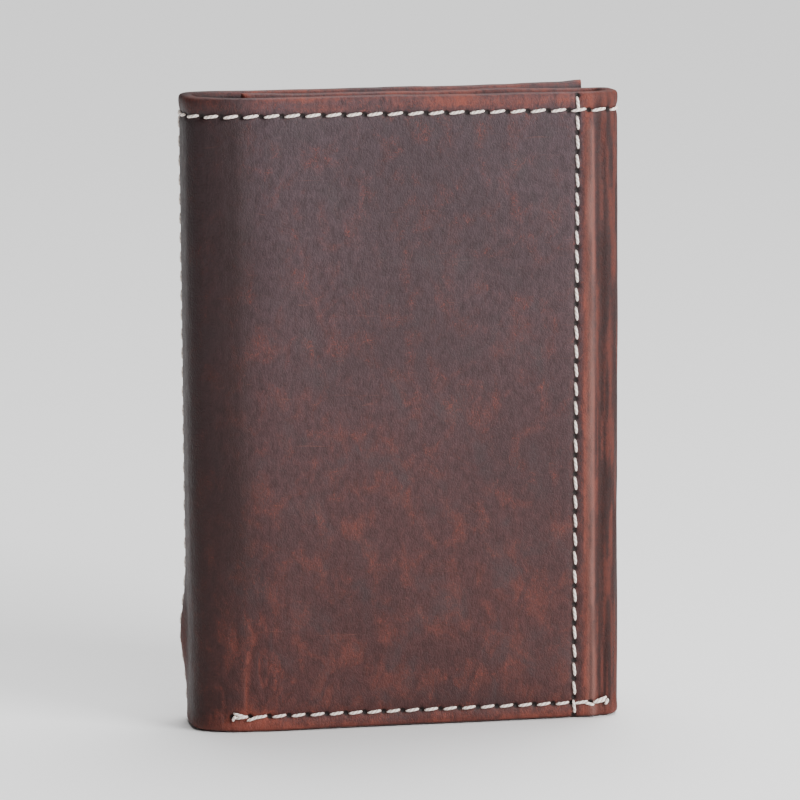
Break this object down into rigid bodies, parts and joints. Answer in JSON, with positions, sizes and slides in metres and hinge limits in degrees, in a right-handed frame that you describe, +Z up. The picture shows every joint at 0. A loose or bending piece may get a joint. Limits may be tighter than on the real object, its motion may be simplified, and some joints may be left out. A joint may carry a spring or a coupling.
{
  "type": "trifold wallet",
  "caption": "Upright closed trifold wallet in distressed brown leather: middle panel, outer flap and tucked inner flap on two folds, with card pockets, bill lining and card window.",
  "frame": {"origin": "middle of the closed wallet's footprint, at its lower edge", "axes": "+Z up along the folds, +X from the left fold to the right fold, +Y from the middle panel to the outer flap"},
  "size_m": [0.0747, 0.0289, 0.108],
  "materials": {
    "outer_leather": "distressed pull-up leather, satin",
    "inner_leather": "smooth leather, satin",
    "lining": "plain woven lining, matte",
    "seam_thread": "off-white waxed thread",
    "inner_thread": "waxed thread",
    "clear_film": "clear glossy film"
  },
  "bodies": {
    "middle_panel": {"middle_leather": "outer_leather", "middle_lining": "lining", "middle_inner_panel": "inner_leather", "middle_pocket_rear": "inner_leather", "middle_pocket_centre": "inner_leather", "middle_pocket_front": "inner_leather", "middle_top_thread": "seam_thread", "middle_upright_thread": "seam_thread", "middle_bottom_thread": "seam_thread", "middle_pocket_thread": "inner_thread"},
    "left_fold": {"left_fold_leather": "outer_leather", "left_fold_lining": "lining", "left_fold_thread": "seam_thread"},
    "outer_flap": {"outer_flap_leather": "outer_leather", "outer_flap_lining": "lining", "outer_flap_inner_panel": "inner_leather", "window_film": "clear_film", "window_frame": "inner_leather", "outer_flap_thread": "seam_thread", "window_thread": "inner_thread"},
    "right_fold": {"right_fold_leather": "outer_leather", "right_fold_lining": "lining", "right_fold_thread": "seam_thread"},
    "inner_flap": {"inner_flap_leather": "outer_leather", "inner_flap_lining": "lining", "inner_flap_inner_panel": "inner_leather", "inner_flap_pocket_rear": "inner_leather", "inner_flap_pocket_centre": "inner_leather", "inner_flap_pocket_front": "inner_leather", "inner_flap_thread": "seam_thread", "inner_flap_pocket_thread": "inner_thread"}
  },
  "joints": [
    {"name": "left_fold_turn", "type": "hinge", "parent": "middle_panel", "child": "left_fold", "pos_m": [-0.03429, -0.01141, 0], "axis": [0, 0, 1], "range_deg": [0, 90]},
    {"name": "outer_flap_turn", "type": "hinge", "parent": "left_fold", "child": "outer_flap", "pos_m": [-0.03429, 0.00217, 0], "axis": [0, 0, 1], "range_deg": [0, 88.51]},
    {"name": "right_fold_turn", "type": "hinge", "parent": "middle_panel", "child": "right_fold", "pos_m": [0.0354, -0.01252, 0], "axis": [0, 0, -1], "range_deg": [0, 24.31]},
    {"name": "inner_flap_turn", "type": "hinge", "parent": "right_fold", "child": "inner_flap", "pos_m": [0.0354, -0.00432, 0], "axis": [0, 0, -1], "range_deg": [0, 24.31]}
  ],
  "couplings": [
    {"joint": "outer_flap_turn", "follows": "left_fold_turn", "ratio": 0.98333},
    {"joint": "right_fold_turn", "follows": "left_fold_turn", "ratio": 0.27},
    {"joint": "inner_flap_turn", "follows": "left_fold_turn", "ratio": 0.27}
  ]
}
